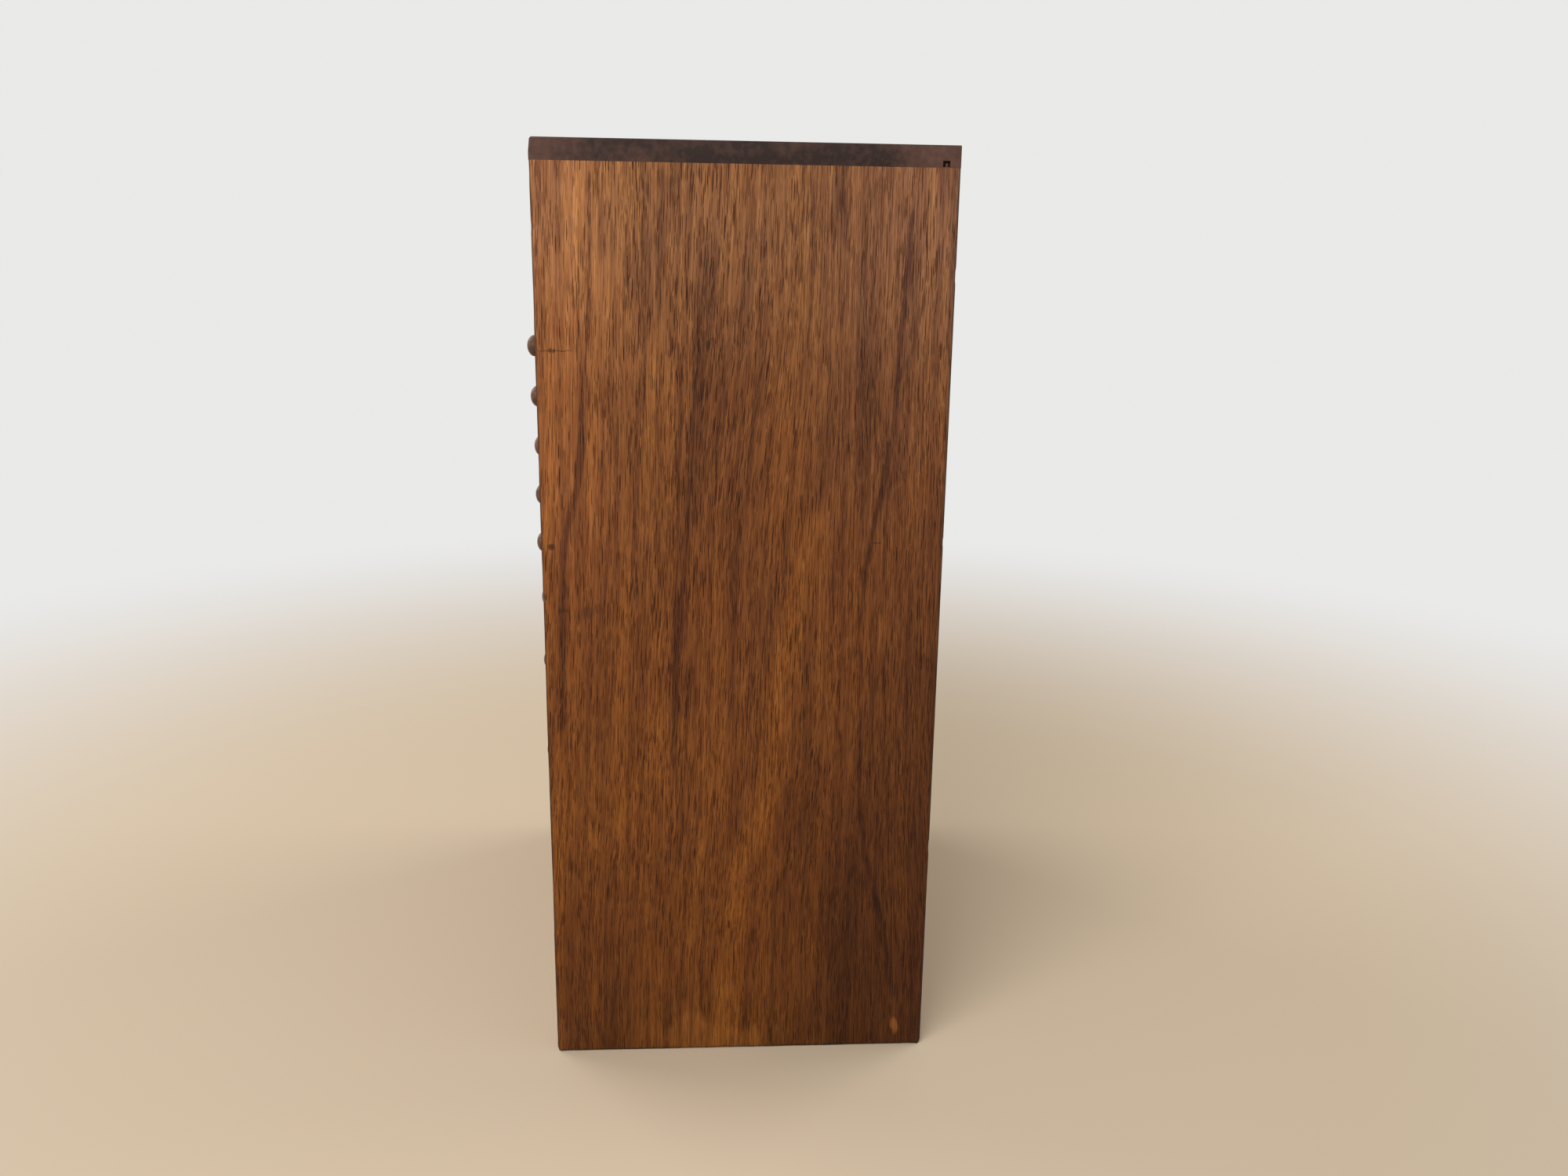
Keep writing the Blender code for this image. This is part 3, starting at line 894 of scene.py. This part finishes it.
def make_side(name, hand, sizes, material, chips, seed):
    """A side with its outer edges worn and chipped."""
    bm = joined_copy(name)
    round_edges(bm, sharp_edges(bm, SIDE_TOP), sizes.edge_round)
    for vert in bm.verts:
        if abs(vert.co.z - SIDE_TOP) < JOIN:
            vert.co.z = TOP_LOW - TOP_SEAM
    outer = hand * OUTER_X
    slice_worn_edges(bm, outer, hand)
    for vert in bm.verts:
        x, y, z = vert.co
        inward = abs(x - outer)
        if inward > STRIP - JOIN:
            continue
        for at_back, edge, turn in ((False, FRONT_Y, 1), (True, BACK_Y, -1)):
            inside = abs(y - edge)
            if inside < STRIP - JOIN:
                worn = CHAMFER + sizes.arris_wear * wear_of(z, seed + at_back)
                push_in(vert, hand, Y, turn, worn + chip_depth(chips, at_back, z) - inward - inside)
        if z < STRIP - JOIN and FRONT_Y + STRIP < y < BACK_Y - STRIP:
            worn = FOOT_CHAMFER + sizes.arris_wear * wear_of(y, seed + 5)
            push_in(vert, hand, Z, 1, worn - inward - z)
    new_piece(f"{name}_board", bm, "case", [name], [material])


def cut_notch(bm, end_x, depth):
    """Pushes the notch into the top's right end."""
    end = [
        face
        for face in bm.faces
        if face.normal.x > 0.9 and face.calc_center_median().x > end_x - JOIN
    ]
    legs = (NOTCH_FRONT, NOTCH_FRONT + NOTCH_LEG, NOTCH_BACK - NOTCH_LEG, NOTCH_BACK)
    cells = slice_faces(bm, end, Y, [NOTCH_FRONT - MM, *legs, NOTCH_BACK + MM])
    cells = slice_faces(bm, cells, Z, [NOTCH_LOW, NOTCH_BAR, NOTCH_TOP])

    def in_notch(face):
        middle = face.calc_center_median()
        in_leg = legs[0] < middle.y < legs[1] or legs[2] < middle.y < legs[3]
        in_bar = NOTCH_FRONT < middle.y < NOTCH_BACK and middle.z > NOTCH_BAR
        return NOTCH_LOW < middle.z < NOTCH_TOP and (in_leg or in_bar)

    pushed = [face for face in cells if face.is_valid and in_notch(face)]
    made = bmesh.ops.extrude_face_region(bm, geom=pushed)
    verts = [item for item in made["geom"] if isinstance(item, bmesh.types.BMVert)]
    bmesh.ops.translate(bm, verts=verts, vec=(-depth, 0, 0))
    bmesh.ops.delete(bm, geom=[face for face in pushed if face.is_valid], context="FACES")


def wear_front(bm, low, high, wear):
    """Leans and rounds the top's front edge back, more in some places than in others."""
    front = [
        face
        for face in bm.faces
        if face.calc_center_median().y < low.y + 2 * MM and abs(face.normal.x) < 0.95
    ]
    corner_low = high.z - TOP_CORNER
    steps = [
        high.z - TOP_CORNER * (1 - math.sin(math.radians(angle))) for angle in (0, 20, 40, 60, 75)
    ]
    front = slice_faces(bm, front, Z, [low.z + TOP_KNEE, low.z + 6 * MM, *steps])
    slice_faces(bm, front, X, spread(low.x + MM, high.x - MM, 4 * MM))
    for vert in bm.verts:
        if vert.co.y < low.y + 2.5 * MM:
            up = max(0, vert.co.z - low.z - TOP_KNEE) / (high.z - low.z - TOP_KNEE)
            into_corner = max(0, vert.co.z - corner_low)
            rounded = TOP_CORNER - math.sqrt(max(0, TOP_CORNER**2 - into_corner**2))
            worn = wear * (0.4 + 0.6 * up) * (0.7 + 0.3 * wear_of(vert.co.x, 3.3))
            vert.co.y = max(vert.co.y, low.y + worn + rounded)


def make_top(sizes, material):
    """The top board, its front edge worn unevenly and a small notch in its right end."""
    bm = joined_copy("top_board")
    low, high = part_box("top_board")
    round_edges(bm, sharp_edges(bm, low.z), TOP_ROUND)
    cut_notch(bm, high.x, sizes.notch_depth)
    wear_front(bm, low, high, sizes.top_wear)
    new_piece("top_plank", bm, "case", ["top_board"], [material])


def make_inner_board(node, kind, sizes, material):
    bm = joined_copy(node)
    round_edges(bm, sharp_edges(bm), sizes.edge_round * 0.7)
    new_piece(f"{node}_{kind}", bm, "case", [node], [material])


def make_back(sizes, material, iron):
    """The back: three upright boards, nailed all round and to the shelves."""
    bm = joined_copy("back_panel")
    low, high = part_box("back_panel")
    round_edges(bm, sharp_edges(bm), sizes.edge_round)
    for joint in BACK_JOINTS:
        slice_faces(bm, bm.faces, X, [joint - BACK_JOINT_HALF, joint, joint + BACK_JOINT_HALF])
        for vert in bm.verts:
            if abs(vert.co.x - joint) < JOIN and vert.co.y > high.y - MM:
                vert.co.y -= sizes.back_joint
    new_piece("back_boards", bm, "case", ["back_panel"], [material])

    bm = bmesh.new()
    left, right = low.x + NAIL_INSET, high.x - NAIL_INSET
    foot, head = low.z + NAIL_INSET, high.z - NAIL_INSET
    row = (left, -NAIL_COLUMN, -NAIL_PAIR, NAIL_PAIR, NAIL_COLUMN, right)
    places = [(x, z) for z in (foot, head) for x in row]
    places += [(x, z) for x in (left, right) for z in spread(foot, head, NAIL_STEP)]
    places += [(x, z) for z in SHELF_NAIL_HEIGHTS for x in (-NAIL_COLUMN, 0, NAIL_COLUMN)]
    for index, (x, z) in enumerate(places):
        across, up = noise.noise((index * 3.1, 0.2, 0.7)), noise.noise((0.4, index * 2.7, 0.1))
        place = Vector((x, high.y, z)) + Vector((across, 0, up)) * NAIL_JOG
        made = bmesh.ops.create_uvsphere(bm, u_segments=14, v_segments=8, radius=sizes.nail_radius)
        flat = Matrix.Translation(place) @ Matrix.Diagonal((1, NAIL_FLATNESS, 1, 1))
        bmesh.ops.transform(bm, matrix=flat, verts=made["verts"])
    new_piece("back_nails", bm, "case", [], [iron])


def front_mesh(low, high, sizes, tone):
    """A drawer front with rounded edges, bored for its knob."""
    bm = bmesh.new()
    middle = (low + high) / 2
    stretch = Matrix.LocRotScale(middle, None, high - low)
    bmesh.ops.create_cube(bm, size=1, matrix=stretch)
    around = 6 * MM
    slice_faces(bm, bm.faces, X, [middle.x - around, middle.x + around])
    slice_faces(bm, bm.faces, Z, [middle.z - around, middle.z + around])
    cells = [
        face
        for face in bm.faces
        if abs(face.normal.y) > 0.9 and (face.calc_center_median() - middle).xz.length < MM
    ]
    loops = []
    for cell in cells:
        bmesh.ops.inset_region(bm, faces=[cell], thickness=2 * MM)
        bmesh.ops.subdivide_edges(bm, edges=cell.edges[:], cuts=5)
        for vert in cell.verts:
            off = vert.co - middle
            ring = Vector((off.x, 0, off.z)).normalized() * BORE_R
            vert.co.x, vert.co.z = middle.x + ring.x, middle.z + ring.z
        loops += cell.edges[:]
    bmesh.ops.delete(bm, geom=cells, context="FACES_ONLY")
    bmesh.ops.bridge_loops(bm, edges=loops)
    bmesh.ops.recalc_face_normals(bm, faces=bm.faces)
    corners = [
        edge
        for edge in sharp_edges(bm)
        if ((edge.verts[0].co + edge.verts[1].co) / 2 - middle).xz.length > around
    ]
    round_edges(bm, corners, sizes.edge_round * 1.4, 3)
    board = bm.verts.layers.float.new("board")
    for vert in bm.verts:
        vert[board] = tone
    uv = bm.loops.layers.uv.new("from_knob")
    for face in bm.faces:
        for loop in face.loops:
            loop[uv].uv = loop.vert.co.x - middle.x, loop.vert.co.z - middle.z
    return bm


def tray_mesh(low, high, ear, sizes):
    """A drawer's bottom, with its ears, and the two sides and the back that stand on it."""
    bm = bmesh.new()
    edge, seam = sizes.edge_round * 0.8, sizes.seam
    left, right = low.x + ear, high.x - ear
    floor, rim = low.z + DRAWER_BOTTOM_T, high.z - RIM_DROP
    behind_front = low.y + FRONT_T + seam
    add_plank(bm, low, (high.x, high.y, floor), edge)
    add_plank(bm, (left, behind_front, floor + seam), (left + WALL_T, high.y, rim), edge)
    add_plank(bm, (right - WALL_T, behind_front, floor + seam), (right, high.y, rim), edge)
    back_low = (left + WALL_T + seam, high.y - WALL_T, floor + seam)
    add_plank(bm, back_low, (right - WALL_T - seam, high.y, rim), edge, 1)
    return bm


def make_drawer(name, index, sizes, front_material, tray_materials):
    low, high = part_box(name)
    ear = 0 if name.startswith(ON_BOARD) else EAR
    front_low = Vector((low.x + ear, low.y, low.z + DRAWER_BOTTOM_T + sizes.seam))
    front_high = Vector((high.x - ear, low.y + FRONT_T, high.z))
    bm = front_mesh(front_low, front_high, sizes, (index * TONE_STEP) % 1)
    new_piece(f"{name}_front", bm, name, [name], [front_material])
    bm = tray_mesh(low, high, ear, sizes)
    new_piece(f"{name}_tray", bm, name, [name], tray_materials)


def make_knob(name, sizes, material):
    """A turned knob: a spigot, a coved neck and a flattened ball."""
    low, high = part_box(f"{name}_knob")
    ball_r = (high.z - low.z) / 2
    front = high.y - SPIGOT_LENGTH
    middle = front - BALL_MIDDLE
    ball_half = middle - low.y
    profile = [
        (0, high.y),
        (SPIGOT_R - SPIGOT_CHAMFER, high.y),
        (SPIGOT_R, high.y - SPIGOT_CHAMFER),
        (SPIGOT_R, front - NECK_GAP),
        (NECK_R, front - NECK_GAP),
    ]
    profile += [(NECK_R + wider * MM, front - ahead * MM) for wider, ahead in COVE]
    start = math.asin((NECK_R + 0.6 * MM) / ball_r)
    rings = 16
    for step in range(rings + 1):
        angle = start + (math.pi - start) * step / rings
        profile.append((ball_r * math.sin(angle), middle + ball_half * math.cos(angle)))
    bm = bmesh.new()
    centre = Vector(((low.x + high.x) / 2, 0, (low.z + high.z) / 2))
    verts = [bm.verts.new((centre.x + radius, y, centre.z)) for radius, y in profile]
    edges = [bm.edges.new(pair) for pair in zip(verts, verts[1:])]
    bmesh.ops.spin(
        bm, geom=verts + edges, cent=centre, axis=(0, 1, 0), angle=2 * math.pi,
        steps=sizes.knob_steps, use_merge=True,
    )
    bmesh.ops.remove_doubles(bm, verts=bm.verts, dist=JOIN)
    bmesh.ops.recalc_face_normals(bm, faces=bm.faces)
    new_piece(f"{name}_turned_knob", bm, name, [f"{name}_knob"], [material])


def seen_rays(start):
    """1 for the rays that show the backdrop and 0 for those that carry light."""
    kinds = ("Is Camera Ray", "Is Glossy Ray", "Is Transmission Ray")
    return greatest(*(start.node("ShaderNodeLightPath", output=kind) for kind in kinds))


def make_world(stage):
    scene = bpy.context.scene
    scene.world = bpy.data.worlds.new("studio")
    scene.world.use_nodes = True
    scene.world.node_tree.nodes.clear()
    start = Wire(scene.world.node_tree)
    light = start.node("ShaderNodeBackground", {}, {"Color": rgba(grey(1)), "Strength": stage.sky})
    backdrop = start.node("ShaderNodeBackground", {}, {"Color": rgba(stage.backdrop), "Strength": 1})
    mixed = start.node("ShaderNodeMixShader", {}, {0: seen_rays(start), 1: light, 2: backdrop})
    start.node("ShaderNodeOutputWorld", {}, {"Surface": mixed})


def make_floor(stage):
    """A wide floor that fades into the backdrop, so that no edge of it shows."""
    material, start = new_material("pale_floor")
    at = object_place(start)
    away = at.node("ShaderNodeVectorMath", {"operation": "LENGTH"}, {0: at}, "Value")
    fade = smooth(away, FADE_START, FADE_END) * seen_rays(start)
    floor = start.node("ShaderNodeBsdfDiffuse", {}, {"Color": rgba(stage.floor)})
    glow = start.node("ShaderNodeEmission", {}, {"Color": rgba(stage.backdrop), "Strength": 1})
    mixed = start.node("ShaderNodeMixShader", {}, {0: fade, 1: floor, 2: glow})
    start.node("ShaderNodeOutputMaterial", {}, {"Surface": mixed})
    bm = bmesh.new()
    bmesh.ops.create_circle(bm, cap_ends=True, segments=96, radius=FLOOR_RADIUS)
    bmesh.ops.translate(bm, verts=bm.verts, vec=(0, 0, -FLOOR_DROP))
    mesh_object("floor", bm, [material])


def add_softbox(name, place, aim, size, power):
    lamp = bpy.data.lights.new(name, "AREA")
    lamp.shape = "SQUARE"
    lamp.size = size
    lamp.energy = power
    obj = linked(name, lamp)
    obj.location = place
    obj.rotation_euler = (Vector(aim) - Vector(place)).to_track_quat("-Z", "Y").to_euler()


def make_camera(stage):
    camera = bpy.data.cameras.new("camera")
    camera.lens = stage.lens
    camera.sensor_width = 36
    camera.clip_start = 0.01
    obj = linked("camera", camera)
    facing = Matrix(((0, 0, 1), (1, 0, 0), (0, 1, 0)))
    turn = facing @ Matrix.Rotation(stage.pitch, 3, "X") @ Matrix.Rotation(stage.yaw, 3, "Y")
    obj.matrix_world = Matrix.Translation(stage.camera) @ turn.to_4x4()
    bpy.context.scene.camera = obj


class CHEST_OT_sides(bpy.types.Operator):
    """Make the two sides"""

    bl_idname = "chest.sides"
    bl_label = "Sides"

    def execute(self, context):
        sizes, woods = context.scene.chest_sizes, context.scene.chest_woods
        right = side_wood("side_right_wood", 1, woods, (0, 0, 0), *RIGHT_MARKS)
        left = side_wood("side_left_wood", -1, woods, (0.6, 1.9, 0.7), *LEFT_MARKS)
        make_side("side_right", 1, sizes, right, RIGHT_CHIPS, 0.3)
        make_side("side_left", -1, sizes, left, LEFT_CHIPS, 20.3)
        return {"FINISHED"}


class CHEST_OT_top(bpy.types.Operator):
    """Make the top board"""

    bl_idname = "chest.top"
    bl_label = "Top"

    def execute(self, context):
        make_top(context.scene.chest_sizes, top_wood(context.scene.chest_woods))
        return {"FINISHED"}


class CHEST_OT_inner_boards(bpy.types.Operator):
    """Make the bottom board, the shelves and the dividers"""

    bl_idname = "chest.inner_boards"
    bl_label = "Inner boards"

    def execute(self, context):
        sizes, woods = context.scene.chest_sizes, context.scene.chest_woods
        lying = bare_wood("shelf_bare_wood", X, (0.2, 0.5, 0.3), woods, True)
        standing = bare_wood("divider_bare_wood", Z, (0.9, 0.1, 0.4), woods, True)
        make_inner_board("bottom_board", "plank", sizes, lying)
        for node in SHELVES:
            make_inner_board(node, "board", sizes, lying)
        for node in DIVIDERS:
            make_inner_board(node, "board", sizes, standing)
        return {"FINISHED"}


class CHEST_OT_back(bpy.types.Operator):
    """Make the back and its nails"""

    bl_idname = "chest.back"
    bl_label = "Back"

    def execute(self, context):
        sizes, woods = context.scene.chest_sizes, context.scene.chest_woods
        wood = bare_wood("back_bare_wood", Z, (1.4, 0.3, 0.8), woods, False, (0.8, 0.74, 0.68))
        make_back(sizes, wood, nail_iron(woods))
        return {"FINISHED"}


class CHEST_OT_drawers(bpy.types.Operator):
    """Make the drawers' fronts and trays"""

    bl_idname = "chest.drawers"
    bl_label = "Drawers"

    def execute(self, context):
        sizes, woods = context.scene.chest_sizes, context.scene.chest_woods
        tray = [
            bare_wood("tray_wood", Y, (0.3, 1.1, 0.6), woods, True),
            bare_wood("tray_back_wood", X, (0.8, 0.2, 1.6), woods),
        ]
        fronts = {}
        for index, name in enumerate(DRAWERS):
            kind = name.split("_")[0]
            if kind not in fronts:
                low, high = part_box(name)
                half_width = (high.x - low.x) / 2 - (0 if name.startswith(ON_BOARD) else EAR)
                half_height = (high.z - low.z - DRAWER_BOTTOM_T) / 2
                fronts[kind] = front_wood(f"{kind}_front_wood", half_width, half_height, woods)
            make_drawer(name, index, sizes, fronts[kind], tray)
        return {"FINISHED"}


class CHEST_OT_knobs(bpy.types.Operator):
    """Make the drawers' turned knobs"""

    bl_idname = "chest.knobs"
    bl_label = "Knobs"

    def execute(self, context):
        material = knob_wood(context.scene.chest_woods)
        for name in DRAWERS:
            make_knob(name, context.scene.chest_sizes, material)
        return {"FINISHED"}


class CHEST_OT_stage(bpy.types.Operator):
    """Make the floor, the light and the camera"""

    bl_idname = "chest.stage"
    bl_label = "Stage"

    def execute(self, context):
        stage = context.scene.chest_stage
        context.scene.view_settings.view_transform = "Standard"
        make_world(stage)
        make_floor(stage)
        add_softbox("key_softbox", (1.0, -0.55, 1.15), (0.1, 0, 0.35), 0.9, stage.key)
        add_softbox("front_softbox", (-0.7, -1.2, 1.2), (0, 0, 0.25), 1.0, stage.fill)
        add_softbox("back_softbox", (-0.5, 1.3, 1.2), (0, 0, 0.25), 1.0, stage.fill)
        make_camera(stage)
        return {"FINISHED"}


class CHEST_PT_looks(bpy.types.Panel):
    """The chest's pieces and what can be changed on them"""

    bl_idname = "CHEST_PT_looks"
    bl_label = "Drawer chest"
    bl_space_type = "VIEW_3D"
    bl_region_type = "UI"
    bl_category = "Chest"

    def draw(self, context):
        layout = self.layout
        for operator in OPERATORS:
            layout.operator(operator.bl_idname)
        for group in (context.scene.chest_sizes, context.scene.chest_woods, context.scene.chest_stage):
            box = layout.box()
            for name in group.__annotations__:
                box.prop(group, name)


GROUPS = {"chest_sizes": ChestSizes, "chest_woods": ChestWoods, "chest_stage": ChestStage}
OPERATORS = (
    CHEST_OT_sides, CHEST_OT_top, CHEST_OT_inner_boards, CHEST_OT_back, CHEST_OT_drawers,
    CHEST_OT_knobs, CHEST_OT_stage,
)


def register():
    for cls in (*GROUPS.values(), *OPERATORS, CHEST_PT_looks):
        bpy.utils.register_class(cls)
    for name, group in GROUPS.items():
        setattr(bpy.types.Scene, name, bpy.props.PointerProperty(type=group))


def unregister():
    for name in GROUPS:
        delattr(bpy.types.Scene, name)
    for cls in reversed((*GROUPS.values(), *OPERATORS, CHEST_PT_looks)):
        bpy.utils.unregister_class(cls)


def main():
    register()
    bpy.ops.chest.sides()
    bpy.ops.chest.top()
    bpy.ops.chest.inner_boards()
    bpy.ops.chest.back()
    bpy.ops.chest.drawers()
    bpy.ops.chest.knobs()
    bpy.ops.chest.stage()
    bpy.context.view_layer.update()


if __name__ == "__main__":
    main()
